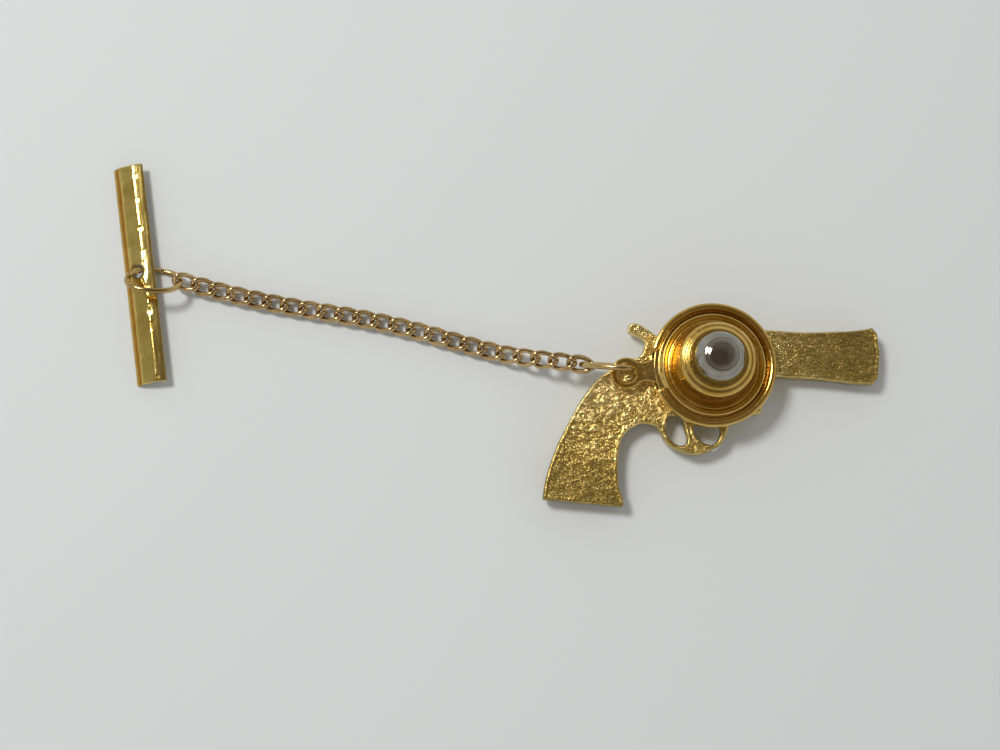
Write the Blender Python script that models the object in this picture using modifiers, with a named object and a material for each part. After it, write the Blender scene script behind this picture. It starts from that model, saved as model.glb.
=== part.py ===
"""A revolver tie tack lying face down: cast emblem with its pin, locking clutch, curb chain and T-bar.

Units are metres. +Z is up along the pin, the emblem's back faces up and +X runs along the barrel.
Lengths below are in millimetres and turned into metres by MM where a shape is made.
"""
import math

import bmesh
import bpy
from mathutils import Matrix, Vector

for old in list(bpy.data.objects):
    bpy.data.objects.remove(old, do_unlink=True)

MM = 0.001

# ---- driving dimensions, mm ----
PIN_AXIS = (19.56, -3.40)      # where the pin stands, from the middle of the whole piece
BACK_Z = 1.90                  # height of the emblem's flat back above the table
FRONT_Z = 0.55                 # front face of the flat plate, below which the relief stands out
EDGE = 0.14                    # softened edge of the cast plate

PIN_R = 0.50
PIN_HEAD_R = 1.60
PIN_TIP_Z = 7.25
CLUTCH_R = 5.50                # outside of the clutch's base cup
CUP_Z = 2.25                   # underside of the base cup
CUP_TOP_Z = 3.42
BRIM_Z = 3.02                  # top of the housing's brim, which carries the arm
SHEET = 0.24
DOME_Z = 6.14
CAP_TOP_Z = 8.50

ARM_TURN = 185.3               # degrees from the barrel's direction to the arm's
EYE_REACH = 7.60
EYE_R = 1.38
EYE_HOLE_R = 0.87
ARM_HALF = 0.85

BALL_R = 0.60
BALL_Z = 3.50
BALL_RING = 1.11               # from the pin's axis to a ball's middle

LINKS = 23
LINK_PITCH = 1.651
LINK_A = 1.11                  # half length of a link's wire centre line
LINK_B = 0.63                  # half width
LINK_SQUARE = 2.7              # 2 is a plain ellipse, more is fuller at the corners
LINK_WIRE = 0.22
LINK_TWIST = -50.0             # degrees from a link's middle to its end
LINK_FLAT_Z = 0.55             # height of a link's middle where the chain lies on the table
CHAIN_FROM = (-11.49, 0.18)    # the link next to the clutch, from the pin
CHAIN_TO = (-46.87, 7.96)      # the link next to the bar
CHAIN_WAVE = (0.30, 0.14)      # sideways wave of the chain at its two ends
CHAIN_RISE = 1.80              # how far the first link stands above the table run
CHAIN_RISE_RUN = 8.6           # over this length
CHAIN_END_LIFT = 0.41          # how far the ring in the bar lifts the last link

RING_WIRE = 0.25
EYE_RING = ((-7.20, -0.43, 3.95), (-11.37, 0.25, 1.97), 1.10, 74.9)   # two ends, half width, tilt
BAR_RING = ((-51.81, 8.12, 1.75), (-47.20, 7.79, 1.25), 1.71, -45.1)

BAR_LENGTH = 20.3
BAR_TURN = 98.7                # degrees, the way the bar's length points
BAR_MIDDLE = (-51.13, 8.78)
BAR_FLAT = 0.65                # half width of its flat top
BAR_WALL = 0.91                # width of each sloping wall
BAR_SLOPE = 19.0
BAR_SHEET = 0.25
BAR_ROLL = 16.5                # the ring under one wall tips the bar by this much
BAR_TOP_Z = 0.94
BAR_HOLE_R = 0.62
BAR_HOLE_SHIFT = 0.15          # the hole stands this far off the middle of the bar

# Outline of the revolver, seen from its back, from the pin. "v" is a sharp corner, "a" a smooth point.
BARREL = (
    (5.30, 3.39, "v"), (8.20, 3.17, "a"), (11.10, 3.24, "a"), (13.20, 3.36, "a"), (14.37, 3.58, "v"),
    (14.80, 3.06, "v"), (14.90, 1.10, "a"), (14.66, -0.96, "v"), (14.20, -1.48, "v"), (12.97, -1.42, "a"),
    (9.20, -1.03, "a"), (5.20, -0.80, "v"),
)
FRAME = ((4.46, -3.45, "a"), (4.15, -4.07, "a"), (3.60, -4.20, "v"), (1.75, -4.35, "v"))
GUARD = (
    (1.32, -5.59, "a"), (0.78, -6.70, "a"), (-0.35, -7.38, "a"), (-1.60, -7.70, "a"), (-3.00, -7.32, "a"),
    (-4.06, -6.66, "a"), (-4.64, -5.62, "a"), (-5.00, -5.17, "v"),
)
GRIP = (
    (-6.05, -4.95, "a"), (-6.91, -5.27, "a"), (-7.78, -6.02, "a"), (-8.16, -7.08, "a"), (-8.32, -8.57, "a"),
    (-8.25, -10.47, "a"), (-7.90, -11.80, "a"), (-7.96, -12.25, "v"), (-14.88, -11.62, "v"),
    (-14.86, -11.10, "a"), (-14.12, -8.15, "a"), (-12.29, -4.31, "a"), (-11.00, -2.20, "a"),
    (-9.72, -0.80, "a"), (-8.10, 0.22, "a"), (-6.66, 0.86, "v"),
)
HAMMER = (
    (-6.33, 0.96, "a"), (-5.92, 1.70, "a"), (-5.80, 2.24, "a"), (-6.12, 2.68, "a"), (-6.88, 3.07, "a"),
    (-7.20, 3.24, "v"), (-7.22, 3.74, "a"), (-6.94, 3.94, "a"), (-6.46, 3.97, "a"), (-5.62, 3.50, "a"),
    (-4.78, 2.92, "a"), (-4.20, 2.66, "v"), (-3.95, 3.20, "v"),
)
GUARD_REAR = (
    (-3.80, -4.30, "v"), (-4.10, -5.59, "a"), (-3.62, -6.48, "a"), (-2.92, -6.90, "a"), (-2.40, -6.84, "v"),
    (-2.24, -6.36, "a"), (-2.42, -5.65, "a"), (-2.55, -4.90, "a"), (-2.50, -4.30, "v"),
)
GUARD_FRONT = (
    (-1.66, -4.60, "v"), (-1.66, -5.40, "a"), (-1.48, -6.08, "a"), (-0.86, -6.66, "a"), (-0.08, -6.88, "v"),
    (0.46, -6.40, "a"), (0.70, -5.50, "a"), (0.62, -4.60, "v"),
)
GRIP_PANEL = (
    (-8.45, -2.30, "v"), (-6.90, -4.05, "a"), (-8.20, -5.05, "a"), (-8.95, -6.70, "a"), (-9.10, -8.80, "a"),
    (-8.85, -11.25, "v"), (-13.85, -10.78, "v"), (-13.20, -8.05, "a"), (-11.60, -4.70, "a"),
    (-10.20, -2.35, "v"),
)

parts = bpy.data.collections.new("tie_tack")
cutters = bpy.data.collections.new("cutters")
bpy.context.scene.collection.children.link(parts)
bpy.context.scene.collection.children.link(cutters)
cutters.hide_render = True

PIN = Vector((PIN_AXIS[0], PIN_AXIS[1], 0.0)) * MM


def metal(name, colour, roughness):
    """A metal material, with its colour and how dull it is."""
    made = bpy.data.materials.new(name)
    made.use_nodes = True
    shader = made.node_tree.nodes["Principled BSDF"]
    shader.inputs["Base Color"].default_value = (*colour, 1.0)
    shader.inputs["Metallic"].default_value = 1.0
    shader.inputs["Roughness"].default_value = roughness
    made.diffuse_color = (*colour, 1.0)
    return made


CAST_GILT = metal("cast_gilt", (0.60, 0.44, 0.16), 0.45)
PIN_GILT = metal("pin_gilt", (0.70, 0.52, 0.20), 0.25)
SOLDER = metal("solder", (0.62, 0.60, 0.52), 0.40)
CUP_GILT = metal("cup_gilt", (0.76, 0.54, 0.18), 0.15)
HOUSING_GILT = metal("housing_gilt", (0.72, 0.48, 0.14), 0.15)
STEEL = metal("steel", (0.56, 0.56, 0.58), 0.25)
CAGE_BRASS = metal("cage_brass", (0.68, 0.56, 0.28), 0.30)
CAP_NICKEL = metal("cap_nickel", (0.72, 0.71, 0.68), 0.12)
CHAIN_GILT = metal("chain_gilt", (0.78, 0.58, 0.36), 0.20)
RING_GILT = metal("ring_gilt", (0.78, 0.56, 0.32), 0.20)
BAR_GILT = metal("bar_gilt", (0.78, 0.62, 0.22), 0.20)


def finish(obj, name, material, collection=parts):
    """Names the object, gives it its material and shades it smooth away from its edges."""
    obj.name = name
    obj.data.name = name
    obj.data.materials.clear()
    obj.data.materials.append(material)
    if obj.type == "MESH":
        obj.data.shade_smooth()
        obj.data.set_sharp_from_angle(angle=math.radians(35))
    if obj.name not in collection.objects:
        collection.objects.link(obj)
    return obj


def from_bmesh(name, bm, material, origin=PIN, collection=parts):
    """An object from a bmesh whose points are already counted from origin."""
    mesh = bpy.data.meshes.new(name)
    bm.to_mesh(mesh)
    bm.free()
    obj = bpy.data.objects.new(name, mesh)
    obj.location = origin
    return finish(obj, name, material, collection)


def tool(obj):
    """Makes a helper solid a hidden wire one."""
    obj.hide_render = True
    obj.display_type = "WIRE"
    return obj


def boolean(obj, other, operation):
    """Joins or cuts obj with a helper solid."""
    step = obj.modifiers.new(other.name, "BOOLEAN")
    step.operation = operation
    step.solver = "EXACT"
    step.object = tool(other)


def turned(name, outline, material, steps, closed=True):
    """A turned piece on the pin's axis. outline is (radius, height), down its outer side and back up inside."""
    bm = bmesh.new()
    points = [bm.verts.new((r * MM, 0.0, z * MM)) for r, z in outline]
    for first, second in zip(points, points[1:] + points[:1] if closed else points[1:]):
        bm.edges.new((first, second))
    obj = from_bmesh(name, bm, material)
    screw = obj.modifiers.new("turned", "SCREW")
    screw.axis = "Z"
    screw.angle = 2 * math.pi
    screw.steps = steps
    screw.render_steps = steps
    screw.use_merge_vertices = True
    screw.merge_threshold = 0.00001
    screw.use_smooth_shade = True
    return obj


def rod(name, start, end, radius, sides=16, squash=1.0, collection=cutters, material=CAST_GILT):
    """A round bar from start to end in mm from the pin, squashed in height if asked."""
    start = Vector(start) * MM
    end = Vector(end) * MM
    along = end - start
    bm = bmesh.new()
    bmesh.ops.create_cone(
        bm,
        cap_ends=True,
        segments=sides,
        radius1=radius * MM,
        radius2=radius * MM,
        depth=along.length,
        matrix=along.to_track_quat("Z", "Y").to_matrix().to_4x4(),
    )
    bmesh.ops.scale(bm, vec=(1.0, 1.0, squash), verts=bm.verts)
    bmesh.ops.translate(bm, vec=(start + end) / 2, verts=bm.verts)
    return from_bmesh(name, bm, material, PIN, collection)


def block(name, low, high, turn=0.0):
    """A box between two corners in mm from the pin, turned about the pin."""
    bm = bmesh.new()
    bmesh.ops.create_cube(bm, size=1.0)
    size = [(h - l) * MM for l, h in zip(low, high)]
    middle = [(h + l) / 2 * MM for l, h in zip(low, high)]
    bmesh.ops.scale(bm, vec=size, verts=bm.verts)
    bmesh.ops.translate(bm, vec=middle, verts=bm.verts)
    bmesh.ops.rotate(bm, matrix=Matrix.Rotation(math.radians(turn), 3, "Z"), verts=bm.verts)
    return from_bmesh(name, bm, CAST_GILT, PIN, cutters)


def as_mesh(curve):
    """The closed mesh of a curve object, which it replaces."""
    parts.objects.link(curve)
    bpy.context.view_layer.update()
    graph = bpy.context.evaluated_depsgraph_get()
    mesh = bpy.data.meshes.new_from_object(curve.evaluated_get(graph))
    bm = bmesh.new()
    bm.from_mesh(mesh)
    bmesh.ops.remove_doubles(bm, verts=bm.verts, dist=0.000002)
    bm.to_mesh(mesh)
    bm.free()
    obj = bpy.data.objects.new(curve.name, mesh)
    obj.matrix_world = curve.matrix_world
    bpy.data.objects.remove(curve, do_unlink=True)
    return obj


def flat_piece(name, outlines, thickness, edge, material, place, collection=parts, resolution=4):
    """A flat outline made into a plate. An outline's points are (x, y, "a" smooth or "v" sharp), in mm."""
    data = bpy.data.curves.new(name, "CURVE")
    data.dimensions = "2D"
    data.fill_mode = "BOTH"
    data.extrude = (thickness / 2 - edge) * MM
    data.bevel_depth = edge * MM
    data.bevel_resolution = 0
    data.offset = -edge * MM
    data.resolution_u = resolution
    for outline in outlines:
        spline = data.splines.new("BEZIER")
        spline.bezier_points.add(len(outline) - 1)
        spline.use_cyclic_u = True
        for point, (x, y, kind) in zip(spline.bezier_points, outline):
            point.co = (x * MM, y * MM, 0.0)
            point.handle_left_type = "VECTOR" if kind == "v" else "AUTO"
            point.handle_right_type = point.handle_left_type
    curve = bpy.data.objects.new(name, data)
    curve.matrix_world = place
    return finish(as_mesh(curve), name, material, collection)


def wire(name, points, radius, material, cyclic, roundness, place):
    """A bent wire along points given in mm."""
    data = bpy.data.curves.new(name, "CURVE")
    data.dimensions = "3D"
    data.bevel_depth = radius * MM
    data.bevel_resolution = roundness
    data.use_fill_caps = True
    spline = data.splines.new("POLY")
    spline.points.add(len(points) - 1)
    spline.use_cyclic_u = cyclic
    for point, at in zip(spline.points, points):
        point.co = (*(Vector(at) * MM), 1.0)
    curve = bpy.data.objects.new(name, data)
    curve.matrix_world = place
    return finish(curve, name, material)


def at_pin(x, y, z):
    return Matrix.Translation(PIN + Vector((x, y, z)) * MM)


def oval(a, b, count, square):
    """Points of an oval, square being 2 for an ellipse and more for straighter sides."""
    points = []
    for n in range(count):
        t = 2 * math.pi * n / count
        c = math.cos(t)
        s = math.sin(t)
        x = a * math.copysign(abs(c) ** (2 / square), c)
        y = b * math.copysign(abs(s) ** (2 / square), s)
        points.append((x, y, 0.0))
    return points


# ---- emblem ----
def emblem():
    """One casting: the flat-backed revolver plate with its front relief towards the table."""
    outline = BARREL + FRAME + GUARD + GRIP + HAMMER
    middle = (BACK_Z + FRONT_Z) / 2
    plate = flat_piece(
        "emblem_casting",
        (outline, GUARD_REAR, GUARD_FRONT),
        BACK_Z - FRONT_Z,
        EDGE,
        CAST_GILT,
        at_pin(0.0, 0.0, middle),
    )
    relief = [
        rod("barrel_relief", (4.6, 1.72, 0.80), (14.45, 1.72, 0.80), 1.46, squash=0.80 / 1.46),
        rod("ejector_relief", (4.7, -0.42, 0.86), (12.6, -0.42, 0.86), 0.62, 12),
        rod("shield_relief", (-3.2, -0.45, 0.82), (-2.2, -0.45, 0.82), 3.10, 20, 0.66 / 3.10),
        rod("cylinder_relief", (-1.95, -0.45, 0.82), (4.05, -0.45, 0.82), 3.00, 20, 0.82 / 3.00),
        rod("grip_screw_relief", (-10.6, -6.9, 0.14), (-10.6, -6.9, 0.70), 0.62, 14),
        flat_piece(
            "grip_panel_relief",
            (GRIP_PANEL,),
            0.60,
            0.12,
            CAST_GILT,
            at_pin(0.0, 0.0, 0.56),
            cutters,
            3,
        ),
    ]
    for piece in relief:
        boolean(plate, piece, "UNION")
    for n in (-1, 0, 1):
        y = -0.45 + 1.45 * n
        height = 0.02 + 0.10 * abs(n)
        flute = rod(f"flute_{n + 2}", (0.3, y, height), (5.0, y, height), 0.30, 10)
        boolean(plate, flute, "DIFFERENCE")
    return plate


def pin():
    """The headed pin soldered to the emblem's back, with a grip groove below its point."""
    turned(
        "pin_post",
        (
            (0.0, PIN_TIP_Z), (0.14, PIN_TIP_Z - 0.06), (0.44, PIN_TIP_Z - 0.85), (PIN_R, 6.15),
            (PIN_R, 5.75), (0.41, 5.65), (0.41, 5.45), (PIN_R, 5.35), (PIN_R, 2.34), (0.62, 2.20),
            (PIN_HEAD_R - 0.05, 2.20), (PIN_HEAD_R, 2.14), (PIN_HEAD_R, BACK_Z + 0.02), (0.0, BACK_Z + 0.02),
        ),
        PIN_GILT,
        16,
        closed=False,
    )
    turned(
        "pin_solder",
        ((PIN_HEAD_R + 0.03, 2.12), (PIN_HEAD_R + 0.36, BACK_Z + 0.02), (PIN_HEAD_R + 0.03, BACK_Z + 0.02)),
        SOLDER,
        20,
    )


# ---- clutch ----
def base_cup():
    """Pressed cup whose rim is rolled in over the housing's brim, notched where the arm comes out."""
    r = CLUTCH_R
    cup = turned(
        "clutch_base_cup",
        (
            (r - 0.22, CUP_TOP_Z), (r - 0.04, CUP_TOP_Z - 0.12), (r, CUP_TOP_Z - 0.30), (r, CUP_Z + 0.18),
            (r - 0.20, CUP_Z), (0.80, CUP_Z), (0.80, CUP_Z + 0.22), (r - 0.36, CUP_Z + 0.22),
            (r - 0.23, CUP_Z + 0.34), (r - 0.23, CUP_TOP_Z - 0.30), (r - 0.34, CUP_TOP_Z - 0.20),
            (r - 0.48, BRIM_Z + 0.07), (r - 0.62, BRIM_Z + 0.12), (r - 0.56, CUP_TOP_Z - 0.08),
            (r - 0.40, CUP_TOP_Z),
        ),
        CUP_GILT,
        32,
    )
    notch = block("arm_notch", (4.3, -1.42, CUP_Z + 0.45), (7.0, 1.42, CUP_TOP_Z + 1.0), ARM_TURN)
    boolean(cup, notch, "DIFFERENCE")


def housing():
    """Turned housing: brim, base bead, groove, tapering wall, shoulder and top bead, with the arm and eye."""
    low = BRIM_Z - SHEET
    top = DOME_Z
    shell = turned(
        "clutch_housing",
        (
            (1.72, top), (2.14, top), (2.46, top + 0.18), (2.70, top + 0.02), (3.02, top - 0.03),
            (3.20, top - 0.22), (3.27, top - 0.44), (3.70, 3.65), (3.82, 3.24), (3.96, 3.15),
            (4.14, 3.32), (4.33, 3.42), (4.52, 3.32), (4.66, 3.08), (4.78, BRIM_Z), (5.20, BRIM_Z),
            (5.20, low), (4.64, low), (4.46, 3.04), (4.24, 3.08), (4.06, 2.90), (3.70, 2.88),
            (3.52, 3.24), (3.46, 3.60), (3.03, top - 0.46), (2.90, top - 0.25), (1.72, top - 0.25),
        ),
        HOUSING_GILT,
        32,
    )
    boolean(shell, arm(), "UNION")


def arm():
    """Flat arm with its eye, which leaves the brim and takes the chain's ring."""
    outline = []
    for side in (-1, 1):
        neck = [(4.55, 1.55, "v"), (5.20, 1.20, "a"), (5.85, ARM_HALF, "a")]
        outline += [(x, side * y, kind) for x, y, kind in (neck if side < 0 else neck[::-1])]
        if side < 0:
            for n in range(9):
                t = math.radians(-142 + 284 * n / 8)
                outline.append((EYE_REACH + EYE_R * math.cos(t), EYE_R * math.sin(t), "a"))
    hole = []
    for n in range(8):
        t = 2 * math.pi * n / 8
        hole.append((EYE_REACH + EYE_HOLE_R * math.cos(t), EYE_HOLE_R * math.sin(t), "a"))
    turn = Matrix.Rotation(math.radians(ARM_TURN), 4, "Z")
    place = at_pin(0.0, 0.0, BRIM_Z - SHEET / 2) @ turn
    return flat_piece("arm_and_eye", (outline, hole), SHEET - 0.02, 0.05, HOUSING_GILT, place, cutters, 3)


def ball_race():
    """Steel insert whose bore narrows towards the emblem and wedges the balls on the pin."""
    turned(
        "clutch_ball_race",
        ((3.04, 4.10), (3.25, 3.25), (3.25, 2.56), (1.60, 2.56), (1.60, 2.95), (2.04, 4.10)),
        STEEL,
        28,
    )


def release_cage():
    """Ball cage, spring flange and hollow stem in one turned piece, with a window for each ball."""
    cage = turned(
        "release_cage",
        (
            (1.35, 7.00), (1.35, 4.38), (2.15, 4.38), (2.15, 4.20), (1.48, 4.20), (1.48, 2.62),
            (0.62, 2.62), (0.62, 7.00),
        ),
        CAGE_BRASS,
        24,
    )
    for n in range(3):
        t = math.radians(66 + 120 * n)
        x = math.cos(t)
        y = math.sin(t)
        window = rod(f"window_{n + 1}", (0.3 * x, 0.3 * y, BALL_Z), (2.2 * x, 2.2 * y, BALL_Z), 0.64, 14)
        boolean(cage, window, "DIFFERENCE")
        bm = bmesh.new()
        bmesh.ops.create_icosphere(bm, subdivisions=2, radius=BALL_R * MM)
        middle = PIN + Vector((BALL_RING * x, BALL_RING * y, BALL_Z)) * MM
        from_bmesh(f"lock_ball_{n + 1}", bm, STEEL, middle)


def release_spring():
    """Coil between the cage's flange and the underside of the housing's top."""
    turns = 3.5
    per_turn = 14
    low = 4.53
    high = DOME_Z - 0.25 - 0.15
    count = int(turns * per_turn)
    points = []
    for n in range(count + 1):
        t = 2 * math.pi * n / per_turn
        points.append((1.76 * math.cos(t), 1.76 * math.sin(t), low + (high - low) * n / count))
    wire("release_spring", points, 0.11, STEEL, False, 1, at_pin(0.0, 0.0, 0.0))


def release_cap():
    """Polished button with a neck, closed over the pin's point; pulling it frees the balls."""
    turned(
        "release_cap",
        (
            (0.0, CAP_TOP_Z), (0.60, CAP_TOP_Z - 0.05), (1.15, CAP_TOP_Z - 0.24), (1.66, CAP_TOP_Z - 0.58),
            (2.02, CAP_TOP_Z - 1.02), (2.19, CAP_TOP_Z - 1.50), (2.10, 6.66), (1.92, 6.44), (1.92, 6.30),
            (1.40, 6.30), (1.40, 7.06), (0.75, 7.06), (0.75, 7.60), (0.0, 7.72),
        ),
        CAP_NICKEL,
        28,
        closed=False,
    )


# ---- chain ----
def chain_height(run):
    """Height of the chain's middle line, run being the distance from its first link."""
    if run >= CHAIN_RISE_RUN:
        low = 0.0
    else:
        low = CHAIN_RISE * (0.5 + 0.5 * math.cos(math.pi * run / CHAIN_RISE_RUN))
    left = (LINKS - 1) * LINK_PITCH - run
    lift = CHAIN_END_LIFT * math.exp(-left / 1.6)
    return LINK_FLAT_Z + low + lift


def chain_point(run):
    """The chain's middle line: straight from the clutch to the bar with a slight sideways wave."""
    start = Vector(CHAIN_FROM)
    along = Vector(CHAIN_TO) - start
    share = run / along.length
    size = CHAIN_WAVE[0] + (CHAIN_WAVE[1] - CHAIN_WAVE[0]) * share
    side = Vector((along.y, -along.x)).normalized()
    at = start + along * share - side * size * math.sin(3 * math.pi * share)
    return Vector((at.x, at.y, chain_height(run)))


def chain_frames():
    """Where each link stands, with its length along the chain, from the clutch to the bar."""
    runs = [0.0]
    while len(runs) < LINKS:
        run = runs[-1] + 0.5 * LINK_PITCH
        for _ in range(12):
            gap = (chain_point(run) - chain_point(runs[-1])).length
            run += LINK_PITCH - gap
        runs.append(run)
    frames = []
    for run in runs:
        along = (chain_point(run + 0.8) - chain_point(run - 0.8)).normalized()
        side = Vector((0.0, 0.0, 1.0)).cross(along).normalized()
        up = along.cross(side)
        turn = Matrix((along, side, up)).transposed().to_4x4()
        frames.append(Matrix.Translation(PIN + chain_point(run) * MM) @ turn)
    return frames


def chain():
    """Curb links: ovals of round wire twisted until they lie flat, each through the next."""
    shape = []
    for x, y, _ in oval(LINK_A, LINK_B, 20, LINK_SQUARE):
        t = math.radians(LINK_TWIST) * x / LINK_A
        shape.append((x, y * math.cos(t), y * math.sin(t)))
    for n, place in enumerate(chain_frames()):
        wire(f"chain_link_{LINKS - n:02d}", shape, LINK_WIRE, CHAIN_GILT, True, 1, place)


def oval_ring(name, start, end, half_width, tilt):
    """Oval ring of round wire between two ends in mm from the pin, tilted about its length from level."""
    start = Vector(start)
    end = Vector(end)
    length = (end - start).length
    along = (end - start) / length
    level = Vector((0.0, 0.0, 1.0)).cross(along).normalized()
    lean = math.radians(tilt)
    side = level * math.cos(lean) + along.cross(level) * math.sin(lean)
    turn = Matrix((along, side, along.cross(side))).transposed().to_4x4()
    place = Matrix.Translation(PIN + (start + end) / 2 * MM) @ turn
    wire(name, oval(length / 2, half_width, 26, 2.3), RING_WIRE, RING_GILT, True, 2, place)


def t_bar():
    """Strip folded into a shallow open trough, cut square at its ends, with one hole for the ring."""
    slope = math.radians(BAR_SLOPE)
    down = Vector((math.cos(slope), -math.sin(slope)))
    inward = Vector((-math.sin(slope), -math.cos(slope)))
    foot = Vector((BAR_FLAT, 0.0)) + down * BAR_WALL
    inner = Vector((BAR_FLAT, 0.0)) + inward * BAR_SHEET
    inner += down * ((BAR_SHEET + inner.y) / math.sin(slope))
    bend = [
        Vector((BAR_FLAT - 0.10, 0.0)),
        Vector((BAR_FLAT + 0.02, -0.05)),
        Vector((BAR_FLAT, 0.0)) + down * 0.16,
    ]
    right = bend + [foot, foot + inward * BAR_SHEET, inner]
    outline = [(p.x, p.y, "v") for p in right] + [(-p.x, p.y, "v") for p in reversed(right)]
    length = Matrix.Rotation(math.radians(90), 4, "X")
    roll = Matrix.Rotation(math.radians(-BAR_ROLL), 4, "Y")
    turn = Matrix.Rotation(math.radians(BAR_TURN - 90), 4, "Z")
    place = at_pin(BAR_MIDDLE[0], BAR_MIDDLE[1], BAR_TOP_Z) @ turn @ roll
    bar = flat_piece("t_bar", (outline,), BAR_LENGTH, 0.0, BAR_GILT, place @ length)
    hole = rod("bar_hole", (0.0, BAR_HOLE_SHIFT, -3.0), (0.0, BAR_HOLE_SHIFT, 3.0), BAR_HOLE_R)
    hole.matrix_world = place
    boolean(bar, hole, "DIFFERENCE")


emblem()
pin()
base_cup()
housing()
ball_race()
release_cage()
release_spring()
release_cap()
oval_ring("clutch_ring", *EYE_RING)
chain()
oval_ring("bar_ring", *BAR_RING)
t_bar()
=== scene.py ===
"""A tie tack's looks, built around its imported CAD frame.

Every piece is a surface worked out with numpy in millimetres, counted from the pin's foot or along a
piece's own axes, and laid in the frame's metres where the CAD solid it stands for lies.
"""

import bpy
import numpy as np
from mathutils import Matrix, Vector


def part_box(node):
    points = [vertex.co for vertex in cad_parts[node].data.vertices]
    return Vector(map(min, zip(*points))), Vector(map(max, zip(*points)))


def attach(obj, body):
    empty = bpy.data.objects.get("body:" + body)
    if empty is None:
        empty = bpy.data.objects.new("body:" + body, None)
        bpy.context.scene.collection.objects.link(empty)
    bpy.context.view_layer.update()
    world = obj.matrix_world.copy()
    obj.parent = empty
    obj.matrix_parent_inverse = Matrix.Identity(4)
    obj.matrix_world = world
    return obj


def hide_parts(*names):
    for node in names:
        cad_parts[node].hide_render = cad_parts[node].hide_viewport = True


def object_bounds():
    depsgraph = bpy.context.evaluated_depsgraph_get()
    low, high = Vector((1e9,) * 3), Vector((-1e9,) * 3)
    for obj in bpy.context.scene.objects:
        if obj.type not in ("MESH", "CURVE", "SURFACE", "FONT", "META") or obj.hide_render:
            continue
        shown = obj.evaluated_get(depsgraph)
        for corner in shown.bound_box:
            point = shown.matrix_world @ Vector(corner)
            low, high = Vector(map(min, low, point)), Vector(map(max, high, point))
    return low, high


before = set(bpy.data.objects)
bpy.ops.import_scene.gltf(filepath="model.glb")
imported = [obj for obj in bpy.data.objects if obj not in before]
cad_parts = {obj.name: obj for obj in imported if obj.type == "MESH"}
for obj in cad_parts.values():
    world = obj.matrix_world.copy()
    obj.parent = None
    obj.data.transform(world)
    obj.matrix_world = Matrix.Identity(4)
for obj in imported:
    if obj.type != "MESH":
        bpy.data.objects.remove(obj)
cad_low, cad_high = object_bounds()

MM = 0.001

# ---- sizes, mm ----
BACK_Z = 1.90                  # the emblem's flat back
FRONT_Z = 0.55                 # the plate's front, below which the relief stands out
CAST_EDGE = 0.20               # how round the casting's edges are
CAST_STEP = 0.088              # spacing of the casting's surface points
CUP_Z = 2.25
CUP_TOP_Z = 3.42
BRIM_Z = 3.02
SHEET = 0.24
DOME_Z = 6.14
CAP_TOP_Z = 8.50
PIN_TIP_Z = 7.25
PIN_HEAD_R = 1.60
ARM_TURN = np.radians(185.3)
ARM_HALF = 0.85
EYE_REACH = 7.60
EYE_R = 1.38
EYE_HOLE_R = 0.87
NOTCH = np.radians(16.4)       # half the notch that lets the arm out of the cup
LINKS = 23
LINK_A = 1.11
LINK_B = 0.63
LINK_SQUARE = 2.7
LINK_WIRE = 0.22
LINK_TWIST = np.radians(-50)
RING_WIRE = 0.25
BAR_FLAT = 0.65
BAR_WALL = 0.91
BAR_SLOPE = np.radians(19)
BAR_SHEET = 0.25
BAR_HOLE_R = 0.62
BAR_HOLE_SHIFT = 0.15
BALL_R = 0.60

# Control points of the revolver's outline seen from its back, from the pin: "v" sharp, "a" smooth.
SILHOUETTE = (
    # barrel and muzzle
    (5.30, 3.39, "v"), (8.20, 3.17, "a"), (11.10, 3.24, "a"), (13.20, 3.36, "a"), (14.37, 3.58, "v"),
    (14.80, 3.06, "v"), (14.90, 1.10, "a"), (14.66, -0.96, "v"), (14.20, -1.48, "v"), (12.97, -1.42, "a"),
    (9.20, -1.03, "a"), (5.20, -0.80, "v"),
    # frame and trigger guard
    (4.46, -3.45, "a"), (4.15, -4.07, "a"), (3.60, -4.20, "v"), (1.75, -4.35, "v"),
    (1.32, -5.59, "a"), (0.78, -6.70, "a"), (-0.35, -7.38, "a"), (-1.60, -7.70, "a"), (-3.00, -7.32, "a"),
    (-4.06, -6.66, "a"), (-4.64, -5.62, "a"), (-5.00, -5.17, "v"),
    # grip
    (-6.05, -4.95, "a"), (-6.91, -5.27, "a"), (-7.78, -6.02, "a"), (-8.16, -7.08, "a"), (-8.32, -8.57, "a"),
    (-8.25, -10.47, "a"), (-7.90, -11.80, "a"), (-7.96, -12.25, "v"), (-14.88, -11.62, "v"),
    (-14.86, -11.10, "a"), (-14.12, -8.15, "a"), (-12.29, -4.31, "a"), (-11.00, -2.20, "a"),
    (-9.72, -0.80, "a"), (-8.10, 0.22, "a"), (-6.66, 0.86, "v"),
    # hammer
    (-6.33, 0.96, "a"), (-5.92, 1.70, "a"), (-5.80, 2.24, "a"), (-6.12, 2.68, "a"), (-6.88, 3.07, "a"),
    (-7.20, 3.24, "v"), (-7.22, 3.74, "a"), (-6.94, 3.94, "a"), (-6.46, 3.97, "a"), (-5.62, 3.50, "a"),
    (-4.78, 2.92, "a"), (-4.20, 2.66, "v"), (-3.95, 3.20, "v"),
)
GUARD_REAR = (
    (-3.80, -4.30, "v"), (-4.10, -5.59, "a"), (-3.62, -6.48, "a"), (-2.92, -6.90, "a"), (-2.40, -6.84, "v"),
    (-2.24, -6.36, "a"), (-2.42, -5.65, "a"), (-2.55, -4.90, "a"), (-2.50, -4.30, "v"),
)
GUARD_FRONT = (
    (-1.66, -4.60, "v"), (-1.66, -5.40, "a"), (-1.48, -6.08, "a"), (-0.86, -6.66, "a"), (-0.08, -6.88, "v"),
    (0.46, -6.40, "a"), (0.70, -5.50, "a"), (0.62, -4.60, "v"),
)
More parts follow.
